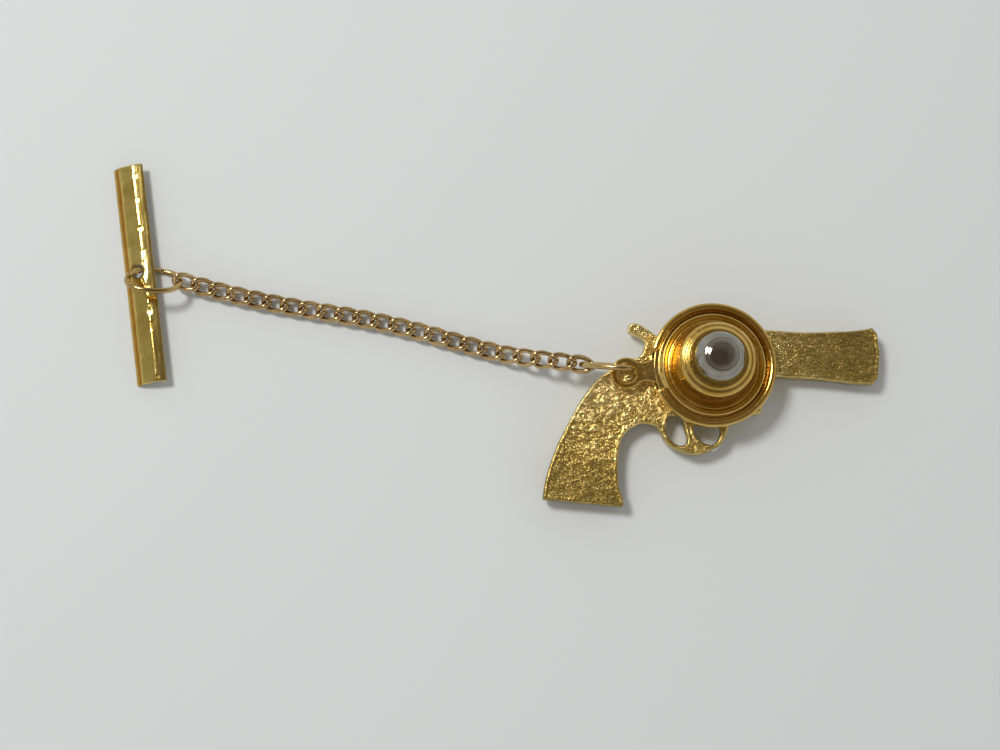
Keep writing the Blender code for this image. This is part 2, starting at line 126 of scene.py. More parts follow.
GRIP_PANEL = (
    (-8.45, -2.30, "v"), (-6.90, -4.05, "a"), (-8.20, -5.05, "a"), (-8.95, -6.70, "a"), (-9.10, -8.80, "a"),
    (-8.85, -11.25, "v"), (-13.85, -10.78, "v"), (-13.20, -8.05, "a"), (-11.60, -4.70, "a"),
    (-10.20, -2.35, "v"),
)


# ---- places in the frame ----
def cad_points(node):
    """The different corners of a CAD node, in metres."""
    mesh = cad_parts[node].data
    points = np.empty(len(mesh.vertices) * 3)
    mesh.vertices.foreach_get("co", points)
    return np.unique(np.round(points.reshape(-1, 3), 7), axis=0)


def own_axes(node):
    """A CAD node's middle and its long, wide and thin directions, the thin one pointing up. They come from
    its surface's second moments: for each triangle, its area times the sum of its corners' products and the
    product of the corners' sum."""
    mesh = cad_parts[node].data
    mesh.calc_loop_triangles()
    corners = np.empty(len(mesh.loop_triangles) * 3, np.int32)
    mesh.loop_triangles.foreach_get("vertices", corners)
    places = np.empty(len(mesh.vertices) * 3)
    mesh.vertices.foreach_get("co", places)
    v = places.reshape(-1, 3)[corners.reshape(-1, 3)]
    area = np.linalg.norm(np.cross(v[:, 1] - v[:, 0], v[:, 2] - v[:, 0]), axis=1) / 2
    centre = (area[:, None] * v.mean(1)).sum(0) / area.sum()
    v = v - centre
    total = v.sum(1)
    spread = np.einsum("t,tki,tkj->ij", area, v, v) + np.einsum("t,ti,tj->ij", area, total, total)
    directions = np.linalg.eigh(spread)[1][:, ::-1].T
    points = cad_points(node)
    thin = directions[2] * np.sign(directions[2][2])
    long = directions[0] * np.sign(directions[0][np.abs(directions[0]).argmax()])
    axes = np.array([long, np.cross(thin, long), thin])
    along = points @ axes.T
    middle = (along.max(0) + along.min(0)) / 2
    return middle @ axes, axes


pin_low, pin_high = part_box("pin_post")
PIN = np.array([(pin_low.x + pin_high.x) / 2, (pin_low.y + pin_high.y) / 2, 0.0])


# ---- mesh making ----
def smoothstep(t):
    """0 before 0, 1 after 1 and a smooth ramp between."""
    t = np.clip(t, 0.0, 1.0)
    return t * t * (3.0 - 2.0 * t)


def lumps(x, y, size, seed):
    """Smooth random bumps from -1 to 1: random heights on a square lattice of that size, blended by
    smoothstep between its four nearest corners."""
    heights = np.random.RandomState(seed).uniform(-1.0, 1.0, (256, 256))
    u = np.asarray(x, float) / size + 61.7
    v = np.asarray(y, float) / size + 83.3
    i = np.floor(u).astype(int)
    j = np.floor(v).astype(int)
    a = smoothstep(u - i)
    b = smoothstep(v - j)
    low = heights[i % 256, j % 256] * (1 - a) + heights[(i + 1) % 256, j % 256] * a
    high = heights[i % 256, (j + 1) % 256] * (1 - a) + heights[(i + 1) % 256, (j + 1) % 256] * a
    return low * (1 - b) + high * b


def lay(name, points, faces, body, nodes, slot, material, **attributes):
    """Makes a smooth mesh of points in metres and a list of face arrays, rides it on its body and lets it
    stand for its CAD nodes. Attributes are one number per point."""
    mesh = bpy.data.meshes.new(name)
    corners = np.concatenate([f.ravel() for f in faces]).astype(np.int32)
    sizes = np.concatenate([np.full(len(f), f.shape[1]) for f in faces]).astype(np.int32)
    mesh.vertices.add(len(points))
    mesh.vertices.foreach_set("co", np.asarray(points, np.float32).ravel())
    mesh.loops.add(len(corners))
    mesh.loops.foreach_set("vertex_index", corners)
    mesh.polygons.add(len(sizes))
    mesh.polygons.foreach_set("loop_start", np.concatenate([[0], np.cumsum(sizes)[:-1]]).astype(np.int32))
    mesh.polygons.foreach_set("loop_total", sizes)
    mesh.update(calc_edges=True)
    mesh.validate()
    for key, values in attributes.items():
        mesh.attributes.new(key, "FLOAT", "POINT").data.foreach_set("value", values.astype(np.float32))
    mesh.shade_smooth()
    mesh.materials.append(material)
    obj = bpy.data.objects.new(name, mesh)
    bpy.context.scene.collection.objects.link(obj)
    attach(obj, body)
    if nodes:
        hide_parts(*nodes)
    return obj


def grid_faces(rows, columns, wrap_rows, wrap_columns):
    """Four-cornered faces over a grid of points, which may close on itself either way."""
    i, j = np.meshgrid(
        np.arange(rows if wrap_rows else rows - 1),
        np.arange(columns if wrap_columns else columns - 1),
        indexing="ij",
    )
    i2 = (i + 1) % rows
    j2 = (j + 1) % columns
    corners = [i * columns + j, i * columns + j2, i2 * columns + j2, i2 * columns + j]
    return np.stack(corners, -1).reshape(-1, 4)


def softened(outline, cut, count=5):
    """A profile whose corners are parabolas: each starts and ends a cut away from its corner, or halfway
    to the next one, and is bent towards it."""
    p = np.asarray(outline, float)[:, :2]
    back = np.roll(p, 1, 0) - p
    ahead = np.roll(p, -1, 0) - p
    cut = np.broadcast_to(cut, len(p))[:, None]
    start = p + back * np.minimum(cut / np.linalg.norm(back, axis=1, keepdims=True), 0.5)
    end = p + ahead * np.minimum(cut / np.linalg.norm(ahead, axis=1, keepdims=True), 0.5)
    t = np.linspace(0.0, 1.0, count)[None, :, None]
    arcs = (1 - t) ** 2 * start[:, None] + 2 * t * (1 - t) * p[:, None] + t**2 * end[:, None]
    return arcs.reshape(-1, 2)


def turned(name, radius, height, steps, closed=True, centre=PIN, **rest):
    """A turned surface: profile point i at angle t stands at (radius cos t, radius sin t, height), where both
    may change with t. An open profile starts and ends on the axis, at one shared point each."""
    t = np.linspace(0.0, 2 * np.pi, steps, endpoint=False)[None, :]
    radius = np.broadcast_to(radius if np.ndim(radius) > 1 else radius[:, None], (len(radius), steps))
    height = np.broadcast_to(height if np.ndim(height) > 1 else height[:, None], (len(height), steps))
    points = np.stack([radius * np.cos(t), radius * np.sin(t), height], -1)
    rows = len(points)
    if closed:
        flat = points.reshape(-1, 3)
        faces = [grid_faces(rows, steps, True, True)]
    else:
        body = points[1:-1].reshape(-1, 3)
        flat = np.concatenate([body, points[0, :1], points[-1, :1]])
        n = np.arange(steps)
        top = len(body)
        last = (rows - 3) * steps
        faces = [
            grid_faces(rows - 2, steps, False, True),
            np.stack([(n + 1) % steps, n, np.full(steps, top)], -1),
            np.stack([last + n, last + (n + 1) % steps, np.full(steps, top + 1)], -1),
        ]
    faces = [f[:, ::-1] for f in faces]
    return lay(name, flat * MM + centre, faces, **rest)


def tube(name, path, radius, sides, place, axes, closed=True, squash=1.0, **rest):
    """A wire along a path in mm: at each point a circle in the plane across the path, one of its directions
    leaning to the piece's thin axis. squash flattens it that way."""
    if closed:
        ahead = np.roll(path, -1, 0) - np.roll(path, 1, 0)
    else:
        ahead = np.gradient(path, axis=0)
    ahead /= np.linalg.norm(ahead, axis=1, keepdims=True)
    thin = np.array([0.0, 0.0, 1.0])
    up = thin - (ahead @ thin)[:, None] * ahead
    up /= np.linalg.norm(up, axis=1, keepdims=True)
    out = np.cross(ahead, up)
    t = np.linspace(0.0, 2 * np.pi, sides, endpoint=False)
    radius = np.broadcast_to(radius, len(path))[:, None, None]
    ring = np.cos(t)[None, :, None] * out[:, None] + squash * np.sin(t)[None, :, None] * up[:, None]
    points = (path[:, None] + radius * ring).reshape(-1, 3)
    faces = [grid_faces(len(path), sides, closed, True)]
    if not closed:
        n = np.arange(sides)
        end = (len(path) - 1) * sides
        points = np.concatenate([points, path[:1], path[-1:]])
        faces.append(np.stack([(n + 1) % sides, n, np.full(sides, len(points) - 2)], -1))
        faces.append(np.stack([end + n, end + (n + 1) % sides, np.full(sides, len(points) - 1)], -1))
    faces = [f[:, ::-1] for f in faces]
    share = np.repeat(np.linspace(0.0, 1.0, len(path)), sides)
    rest.setdefault("along_wire", np.pad(share, (0, len(points) - len(share))))
    return lay(name, (points * MM) @ axes + place, faces, **rest)


def region(distance, low, high, step):
    """A sheet of small faces that fills a flat region, given its signed distance (inside is positive): square
    cells inside, with the points next to the edge moved onto it along the distance's slope.
    Gives x, y, distance, faces and the edge's pairs of points, in order round the material."""
    x = np.arange(low[0], high[0] + step, step)
    y = np.arange(low[1], high[1] + step, step)
    gx, gy = (g.ravel() for g in np.meshgrid(x, y, indexing="ij"))
    d = distance(gx, gy)
    near = np.abs(d) < 0.55 * step
    for _ in range(3):
        e = 0.02 * step
        nx, ny = gx[near], gy[near]
        here = distance(nx, ny)
        slope_x = (distance(nx + e, ny) - distance(nx - e, ny)) / (2 * e)
        slope_y = (distance(nx, ny + e) - distance(nx, ny - e)) / (2 * e)
        size = np.maximum(slope_x**2 + slope_y**2, 0.3)
        gx[near] = nx - here * slope_x / size
        gy[near] = ny - here * slope_y / size
    d[near] = 0.0
    kept = d >= 0.0
    quads = grid_faces(len(x), len(y), False, False)[:, ::-1]
    whole = kept[quads].sum(1)
    faces = [quads[whole == 4]]
    three = quads[whole == 3]
    missing = (~kept[three]).argmax(1)
    order = (missing[:, None] + np.arange(1, 4)) % 4
    faces.append(np.take_along_axis(three, order, 1))
    used = np.zeros(len(gx), bool)
    for f in faces:
        used[f.ravel()] = True
    number = np.cumsum(used) - 1
    faces = [number[f] for f in faces]
    sides = [(f, k, (k + 1) % f.shape[1]) for f in faces for k in range(f.shape[1])]
    pairs = np.concatenate([np.stack([f[:, k], f[:, after]], -1) for f, k, after in sides])
    key = pairs.min(1) * (used.sum() + 1) + pairs.max(1)
    _, first, count = np.unique(key, return_index=True, return_counts=True)
    return gx[used], gy[used], d[used], faces, pairs[first[count == 1]]


def plate(name, distance, low, high, step, top, bottom, place=PIN, axes=np.eye(3), flat_names=(), **rest):
    """A piece with an upper and a lower sheet over one flat region, joined by a wall round its edges.
    top and bottom turn x, y and the distance from the edge into points in mm. flat_names are the attributes
    that keep each point's x and y in the flat region."""
    x, y, d, faces, edge = region(distance, low, high, step)
    upper = top(x, y, d)
    lower = bottom(x, y, d)
    points = np.concatenate([upper, lower])
    n = len(x)
    wall = np.stack([edge[:, 1], edge[:, 0], edge[:, 0] + n, edge[:, 1] + n], -1)
    faces = faces + [f[:, ::-1] + n for f in faces] + [wall]
    rest.setdefault("from_edge", np.concatenate([d, d]))
    for key, values in zip(flat_names, (x, y)):
        rest[key] = np.concatenate([values, values])
    return lay(name, (points * MM) @ axes + place, faces, **rest)


HANDLE = 2.5614                # a chord's length over its automatic curve handle's


def bent_outline(points, steps=14):
    """A closed outline through control points. Between two of them it is a cubic curve whose handles follow
    the bisector of the two chords at a smooth point, each chord's length over HANDLE long, and run a third of
    the way to the next point at a sharp one."""
    p = np.array([(x, y) for x, y, _ in points])
    sharp = np.array([kind == "v" for _, _, kind in points])[:, None]
    before = p - np.roll(p, 1, 0)
    after = np.roll(p, -1, 0) - p
    long_before = np.linalg.norm(before, axis=1, keepdims=True)
    long_after = np.linalg.norm(after, axis=1, keepdims=True)
    way = before / long_before + after / long_after
    way /= HANDLE * np.linalg.norm(way, axis=1, keepdims=True)
    leave = np.where(sharp, p + after / 3, p + way * long_after)
    enter = np.where(sharp, p - before / 3, p - way * long_before)
    t = np.linspace(0.0, 1.0, steps, endpoint=False)[None, :, None]
    a, b, c, e = (q[:, None] for q in (p, leave, np.roll(enter, -1, 0), np.roll(p, -1, 0)))
    curve = (1 - t) ** 3 * a + 3 * t * (1 - t) ** 2 * b + 3 * t**2 * (1 - t) * c + t**3 * e
    return curve.reshape(-1, 2)


def outline_distance(loops):
    """Signed distance to closed outlines, positive in the material: the nearest point of any segment, with
    the sign from how many segments a ray to the right crosses."""
    a = np.concatenate(loops)
    b = np.concatenate([np.roll(loop, -1, 0) for loop in loops])
    ax, ay = a.T
    ex, ey = (b - a).T
    square = ex**2 + ey**2

    def distance(x, y):
        out = np.empty(len(x))
        for part in np.array_split(np.arange(len(x)), len(x) // 3000 + 1):
            dx = x[part, None] - ax
            dy = y[part, None] - ay
            t = np.clip((dx * ex + dy * ey) / square, 0.0, 1.0)
            gap = np.sqrt(((dx - t * ex) ** 2 + (dy - t * ey) ** 2).min(1))
            over = (dy < 0.0) != (dy < ey)
            crossing = over & (dx < ex * dy / np.where(ey == 0.0, 1.0, ey))
            out[part] = np.where(crossing.sum(1) % 2 == 1, gap, -gap)
        return out

    return distance


# ---- materials ----
def colour(code):
    """An sRGB hex value as linear light."""
    s = np.array([int(code[k : k + 2], 16) / 255 for k in (1, 3, 5)])
    linear = np.where(s <= 0.04045, s / 12.92, ((s + 0.055) / 1.055) ** 2.4)
    return (*linear.tolist(), 1.0)


def add(tree, kind, inputs=None, **settings):
    """Adds a node, sets it up, and gives each named or numbered input a value or another node's output."""
    made = tree.nodes.new(kind)
    for key, value in settings.items():
        setattr(made, key, value)
    for key, value in (inputs or {}).items():
        if isinstance(value, bpy.types.NodeSocket):
            tree.links.new(value, made.inputs[key])
        else:
            made.inputs[key].default_value = value
    return made


def ramp(tree, value, stops, interpolation="LINEAR"):
    """A colour ramp: stops are (place, hex colour)."""
    made = add(tree, "ShaderNodeValToRGB", {0: value})
    made.color_ramp.interpolation = interpolation
    while len(made.color_ramp.elements) < len(stops):
        made.color_ramp.elements.new(0.5)
    for element, (place, code) in zip(made.color_ramp.elements, stops):
        element.position = place
        element.color = colour(code)
    return made.outputs["Color"]


def span(tree, value, low, high, to_low, to_high):
    """Maps a value from one range to another, kept inside it."""
    made = add(tree, "ShaderNodeMapRange", {0: value, 1: low, 2: high, 3: to_low, 4: to_high})
    return made.outputs[0]


def new_material(name):
    """An empty metal, its shader and the coordinates in millimetres."""
    made = bpy.data.materials.new(name)
    made.use_nodes = True
    tree = made.node_tree
    shader = tree.nodes["Principled BSDF"]
    shader.inputs["Metallic"].default_value = 1.0
    place = add(tree, "ShaderNodeTexCoord").outputs["Object"]
    mm = add(tree, "ShaderNodeVectorMath", {0: place, 3: 1000.0}, operation="SCALE").outputs[0]
    return made, tree, shader, mm


def noise(tree, mm, size, detail=2.0, roughness=0.5, **more):
    """Noise whose features are about size mm across."""
    made = add(
        tree,
        "ShaderNodeTexNoise",
        {"Vector": mm, "Scale": 1.0 / size, "Detail": detail, "Roughness": roughness},
        **more,
    )
    return made.outputs[0]


def bump(tree, height, depth, before=None):
    """Turns a height from 0 to 1 into a bump that deep in mm."""
    inputs = {"Height": height, "Distance": depth * MM, "Strength": 1.0}
    if before:
        inputs["Normal"] = before
    return add(tree, "ShaderNodeBump", inputs).outputs[0]


def cast_gilt():
    """Zinc alloy, die cast and gilt plated: an as-cast back, sandy and finely wrinkled, whose high spots have
    been rubbed bright while its hollows keep a dull olive skin. The wrinkles are deepest on the upper grip
    and fade towards the butt and the muzzle. Its colour is also painted lighter on the upper grip and darker
    towards the butt and the muzzle: a painted sheen and shade for how the light falls along the piece."""
    made, tree, shader, mm = new_material("cast_zinc_gilt")
    sand = noise(tree, mm, 0.13, 3.0, 0.6)
    sideways = add(
        tree, "ShaderNodeMapping", {"Vector": mm, "Rotation": (0.0, 0.0, 0.35), "Scale": (0.55, 1.0, 1.0)}
    ).outputs[0]
    wrinkle = noise(tree, sideways, 0.34, 2.0, 0.55)
    patch = noise(tree, mm, 3.4, 2.0, 0.5)
    place = add(tree, "ShaderNodeSeparateXYZ", {0: mm}).outputs
    # painted sheen and shade: these position ramps make the tone lighter up the grip and darker towards the
    # butt and the muzzle, and also set how deep the wrinkles are
    grip_way = span(tree, place[1], -14.5, -6.0, 0.30, 1.25)
    barrel_way = span(tree, place[0], 24.0, 29.0, 1.0, 0.36)
    wrinkle_depth_and_painted_sheen = add(tree, "ShaderNodeMath", {0: grip_way, 1: barrel_way}, operation="MULTIPLY").outputs[0]
    mixed = add(tree, "ShaderNodeMath", {0: sand, 1: 0.45}, operation="MULTIPLY").outputs[0]
    mixed = add(tree, "ShaderNodeMath", {0: wrinkle, 1: 0.40, 2: mixed}, operation="MULTIPLY_ADD").outputs[0]
    mixed = add(tree, "ShaderNodeMath", {0: patch, 1: 0.15, 2: mixed}, operation="MULTIPLY_ADD").outputs[0]
    # the tone gets the painted sheen and shade along the grip on top of the wear
    wear_and_painted_sheen = add(tree, "ShaderNodeMath", {0: wrinkle_depth_and_painted_sheen, 1: 0.17, 2: mixed}, operation="MULTIPLY_ADD").outputs[0]
    mixed = add(tree, "ShaderNodeMath", {0: wear_and_painted_sheen, 1: 0.125}, operation="SUBTRACT").outputs[0]
    tone = ramp(tree, mixed, ((0.34, "#84703d"), (0.44, "#ac9450"), (0.53, "#d2b86c"), (0.62, "#f2de9c")))
    tree.links.new(tone, shader.inputs["Base Color"])
    tree.links.new(span(tree, mixed, 0.38, 0.62, 0.28, 0.13), shader.inputs["Roughness"])
    relief = add(tree, "ShaderNodeMath", {0: wrinkle, 1: wrinkle_depth_and_painted_sheen}, operation="MULTIPLY").outputs[0]
    deep = bump(tree, relief, 0.115)
    fine = bump(tree, sand, 0.044, deep)
    tree.links.new(fine, shader.inputs["Normal"])
    return made


def polished_gilt(name, tones, roughness, dust=0.0):
    """Pressed or drawn brass with bright gold plate: near-mirror, a faint orange peel from pressing, tones
    that cloud softly, and hair scratches too fine to see but for the light they spread."""
    made, tree, shader, mm = new_material(name)
    cloud = noise(tree, mm, 2.2, 3.0, 0.55)
    fine = noise(tree, mm, 0.22, 2.0, 0.5)
    tree.links.new(ramp(tree, cloud, tones), shader.inputs["Base Color"])
    tree.links.new(span(tree, fine, 0.35, 0.75, roughness * 0.8, roughness * 1.5), shader.inputs["Roughness"])
    peel = noise(tree, mm, 0.75, 1.0, 0.4)
    tree.links.new(bump(tree, fine, 0.0003 + dust, bump(tree, peel, 0.004)), shader.inputs["Normal"])
    return made


def bar_gilt():
    """Pressed sheet brass with gold plate, worn by buttonholes: long fine scratches and small dents. A redder
    line along one bend and a paler strip beyond it are painted into the colour, a painted reflection on that
    wall."""
    made, tree, shader, mm = new_material("pressed_brass_gilt")
    along = add(tree, "ShaderNodeAttribute", attribute_name="bar_run").outputs["Fac"]
    across = add(tree, "ShaderNodeAttribute", attribute_name="bar_width").outputs["Fac"]
    flat = add(tree, "ShaderNodeCombineXYZ", {0: along, 1: across}).outputs[0]
    long_way = add(tree, "ShaderNodeMapping", {"Vector": flat, "Scale": (0.35, 9.0, 1.0)}).outputs[0]
    scratch = noise(tree, long_way, 1.0, 3.0, 0.7)
    cloud = noise(tree, mm, 1.6, 3.0, 0.6)
    plated = ramp(tree, cloud, ((0.35, "#c4aa5a"), (0.50, "#cfb768"), (0.68, "#dcc67a")))
    place = span(tree, across, -1.6, 1.6, 0.0, 1.0)
    # painted reflection: a redder line along one bend and a paler strip beyond it, across the bar's width
    painted_bevel_reflection = ramp(
        tree, place,
        (
            (0.02, "#ffffff"), (0.74, "#ffffff"), (0.78, "#dca876"), (0.83, "#d2a47c"), (0.90, "#f4e8d8"),
            (0.98, "#ffffff"),
        ),
    )
    shaded = add(
        tree, "ShaderNodeMix", {0: 1.0, 6: plated, 7: painted_bevel_reflection}, data_type="RGBA", blend_type="MULTIPLY"
    )
    tree.links.new(shaded.outputs[2], shader.inputs["Base Color"])
    tree.links.new(span(tree, scratch, 0.40, 0.70, 0.10, 0.18), shader.inputs["Roughness"])
    dent = noise(tree, mm, 0.5, 2.0, 0.5)
    tree.links.new(bump(tree, scratch, 0.0012, bump(tree, dent, 0.004)), shader.inputs["Normal"])
    return made


def nickel():
    """Turned brass with polished nickel plate: a grey mirror, a little cloudy and finely specked."""
    made, tree, shader, mm = new_material("polished_nickel_plate")
    cloud = noise(tree, mm, 1.1, 2.0, 0.5)
    tree.links.new(
        ramp(tree, cloud, ((0.35, "#97948c"), (0.65, "#a5a29a"))), shader.inputs["Base Color"]
    )
    speck = noise(tree, mm, 0.13, 2.0, 0.6)
    tree.links.new(span(tree, speck, 0.45, 0.75, 0.05, 0.14), shader.inputs["Roughness"])
    tree.links.new(bump(tree, speck, 0.003), shader.inputs["Normal"])
    return made


def plain_metal(name, low, high, roughness, grain):
    """A plainer metal with its machining or drawing marks: two tones and a fine bump of that grain in mm."""
    made, tree, shader, mm = new_material(name)
    mark = noise(tree, mm, grain, 3.0, 0.6)
    tree.links.new(ramp(tree, mark, ((0.3, low), (0.7, high))), shader.inputs["Base Color"])
    tree.links.new(span(tree, mark, 0.3, 0.7, roughness * 0.7, roughness * 1.4), shader.inputs["Roughness"])
    tree.links.new(bump(tree, mark, 0.006), shader.inputs["Normal"])
    return made


CAST_GILT = cast_gilt()
CUP_GILT = polished_gilt(
    "spun_brass_gilt_cup", ((0.3, "#cba752"), (0.5, "#d6b260"), (0.7, "#e2c478")), 0.16
)
HOUSING_GILT = polished_gilt(
    "spun_brass_gilt_housing", ((0.3, "#cba752"), (0.5, "#d6b260"), (0.7, "#e2c478")), 0.19
)
CHAIN_GILT = polished_gilt(
    "drawn_wire_rose_gilt", ((0.3, "#ad9265"), (0.5, "#bfa475"), (0.7, "#cfb689")), 0.17
)
RING_GILT = polished_gilt(
    "drawn_wire_gilt_ring", ((0.3, "#ab8f5c"), (0.5, "#bfa46e"), (0.7, "#d0b682")), 0.17
)
BAR_GILT = bar_gilt()
CAP_NICKEL = nickel()
PIN_GILT = plain_metal("drawn_wire_pin_gilt", "#c29a4c", "#d8b468", 0.22, 0.25)
SOLDER = plain_metal("soft_solder", "#8d897c", "#b3aea0", 0.42, 0.30)
STEEL = plain_metal("hardened_steel", "#8e8f92", "#acadaf", 0.26, 0.20)
CAGE_BRASS = plain_metal("turned_brass", "#b39148", "#cdae68", 0.30, 0.18)


# ---- emblem ----
def casting_back(x, y, d):
    """The back: flat, with its edge a quarter circle of CAST_EDGE and a low bell-shaped ridge just inside it,
    hollowed a little in its middle, and covered with sandy lumps that fade out at the edge."""
    short = np.clip(1.0 - d / CAST_EDGE, 0.0, 1.0)
    rounding = CAST_EDGE * (1.0 - np.sqrt(1.0 - short**2))
    inner = smoothstep(d / 0.35)
    sand = 0.008 * lumps(x, y, 0.19, 1) + 0.008 * lumps(x, y, 0.33, 2) + 0.012 * lumps(x, y, 1.1, 3)
    sag = 0.05 * smoothstep(d / 1.6) * (1 + 0.4 * lumps(x, y, 2.6, 4))
    ridge = 0.030 * np.exp(-(((d - 0.20) / 0.10) ** 2))
    z = BACK_Z - 0.035 - rounding + ridge + inner * (sand - 0.020) - 0.4 * sag * inner
    return np.stack([x, y, np.minimum(z, BACK_Z)], -1)


def half_round(y, middle, radius, low, depth):
    """Height of a bar's lower half seen from its front: low, less depth times the circle's share there."""
    share = np.clip(1.0 - ((y - middle) / radius) ** 2, 0.0, 1.0)
    return np.where(share > 0.0, low - depth * np.sqrt(share), 9.0)


def casting_front(x, y, d):
    """The front: the plate with the barrel, ejector housing, recoil shield, fluted cylinder, grip panel and
    screw standing out of it, each the lower half of its own round or flat form."""
    def between(low, high):
        return smoothstep((x - low) / 0.15) * smoothstep((high - x) / 0.15)

    def stand(z, form, share):
        return np.where(form < z, z + (form - z) * share, z)

    z = np.full(len(x), FRONT_Z)
    z = stand(z, half_round(y, 1.72, 1.46, 0.80, 0.80), between(4.55, 14.45))
    z = stand(z, half_round(y, -0.42, 0.62, 0.86, 0.62), between(4.65, 12.6))
    z = stand(z, half_round(y, -0.45, 3.10, 0.82, 0.66), between(-3.2, -2.2))
    cylinder = half_round(y, -0.45, 3.00, 0.82, 0.82)
    for n in (-1, 0, 1):
        inside = np.clip(0.09 - (y + 0.45 - 1.45 * n) ** 2, 0.0, 0.09)
        flute = np.where(inside > 0.0, 0.02 + 0.10 * abs(n) + np.sqrt(inside), -9.0)
        cylinder = np.where(x > 0.3, np.maximum(cylinder, flute), cylinder)
    z = stand(z, cylinder, between(-1.95, 4.05))
    panel = PANEL_DISTANCE(x, y)
    z = stand(z, np.full(len(x), 0.26), smoothstep(panel / 0.18))
    screw = 0.62 - np.hypot(x + 10.6, y + 6.9)
    z = stand(z, np.full(len(x), 0.14), smoothstep(screw / 0.10))
    short = np.clip(1.0 - d / 0.16, 0.0, 1.0)
    return np.stack([x, y, np.maximum(z + 0.16 * (1.0 - np.sqrt(1.0 - short**2)), 0.0)], -1)


PANEL_DISTANCE = outline_distance([bent_outline(GRIP_PANEL)])
plate(
    "emblem_casting_cast",
    outline_distance([bent_outline(SILHOUETTE), bent_outline(GUARD_REAR), bent_outline(GUARD_FRONT)]),
    (-15.2, -12.5),
    (15.2, 4.3),
    CAST_STEP,
    casting_back,
    casting_front,
    body="emblem",
    nodes=["emblem_casting"],
    slot="cast_gilt",
    material=CAST_GILT,
)


# ---- pin ----
profile = softened(
    (
        (0.0, PIN_TIP_Z), (0.14, PIN_TIP_Z - 0.06), (0.44, PIN_TIP_Z - 0.85), (0.50, 6.15), (0.50, 5.75),
        (0.41, 5.65), (0.41, 5.45), (0.50, 5.35), (0.50, 2.34), (0.62, 2.20), (PIN_HEAD_R - 0.05, 2.20),
        (PIN_HEAD_R, 2.14), (PIN_HEAD_R, BACK_Z + 0.02), (0.0, BACK_Z + 0.02),
    ),
    0.08,
)[5:-5]
profile = np.concatenate([[(0.0, PIN_TIP_Z)], profile, [(0.0, BACK_Z + 0.02)]])
turned(
    "pin_post_drawn", profile[:, 0], profile[:, 1], 40, closed=False,
    body="emblem", nodes=["pin_post"], slot="pin_gilt", material=PIN_GILT,
)
solder = softened(
    ((PIN_HEAD_R + 0.03, 2.12), (PIN_HEAD_R + 0.18, 1.98), (PIN_HEAD_R + 0.36, BACK_Z + 0.02),
     (PIN_HEAD_R + 0.03, BACK_Z + 0.02)),
    0.05,
)
turn = np.linspace(0.0, 2 * np.pi, 72, endpoint=False)[None, :]
puddle = 1.0 + 0.35 * np.sin(2 * turn + 0.6) * np.sin(3 * turn)
turned(
    "pin_solder_fillet",
    PIN_HEAD_R + 0.03 + (solder[:, :1] - PIN_HEAD_R - 0.03) * puddle,
    solder[:, 1:] + 0.0 * turn,
    72,
    body="emblem", nodes=["pin_solder"], slot="solder", material=SOLDER,
)


# ---- clutch ----
def base_cup():
    """The cup's profile at full height, and a lower one in the arm's notch: at angle t the wall is a blend of
    the two, by a smooth ramp four degrees wide at each side of the notch. Its lip wavers by a hundredth of a
    mm or so."""
    r = 5.50
    full = softened(
        (
            (r - 0.22, CUP_TOP_Z), (r - 0.05, CUP_TOP_Z - 0.10), (r, CUP_TOP_Z - 0.30), (r, CUP_Z + 0.18),
            (r - 0.20, CUP_Z), (0.80, CUP_Z), (0.80, CUP_Z + 0.22), (r - 0.36, CUP_Z + 0.22),
            (r - 0.23, CUP_Z + 0.34), (r - 0.23, CUP_TOP_Z - 0.30), (r - 0.34, CUP_TOP_Z - 0.20),
            (r - 0.48, BRIM_Z + 0.07), (r - 0.62, BRIM_Z + 0.12), (r - 0.57, CUP_TOP_Z - 0.08),
            (r - 0.40, CUP_TOP_Z),
        ),
        0.11,
        6,
    )
    notch_z = CUP_Z + 0.45
    low = softened(
        (
            (r - 0.09, notch_z + 0.02), (r - 0.04, notch_z), (r, notch_z - 0.06), (r, CUP_Z + 0.18),
            (r - 0.20, CUP_Z), (0.80, CUP_Z), (0.80, CUP_Z + 0.22), (r - 0.36, CUP_Z + 0.22),
            (r - 0.23, CUP_Z + 0.34), (r - 0.23, notch_z - 0.06), (r - 0.22, notch_z - 0.02),
            (r - 0.20, notch_z), (r - 0.17, notch_z + 0.01), (r - 0.14, notch_z + 0.02),
            (r - 0.11, notch_z + 0.025),
        ),
        0.11,
        6,
    )
    steps = 240
    t = np.linspace(0.0, 2 * np.pi, steps, endpoint=False)
    off = np.abs((t - ARM_TURN + np.pi) % (2 * np.pi) - np.pi)
    share = smoothstep((off - NOTCH) / np.radians(4.0))[None, :]
    radius = low[:, :1] + (full[:, :1] - low[:, :1]) * share
    height = low[:, 1:] + (full[:, 1:] - low[:, 1:]) * share
    lip = smoothstep((height - 2.9) / 0.3) * share
    waver = 0.010 * lumps(t * 5, t * 0, 1.3, 11) + 0.006 * np.sin(2 * t + 1.0)
    radius = radius - np.abs(lip * waver)
    turned(
        "clutch_base_cup_spun", radius, height, steps,
        body="clutch_shell", nodes=["clutch_base_cup"], slot="cup_gilt", material=CUP_GILT,
    )


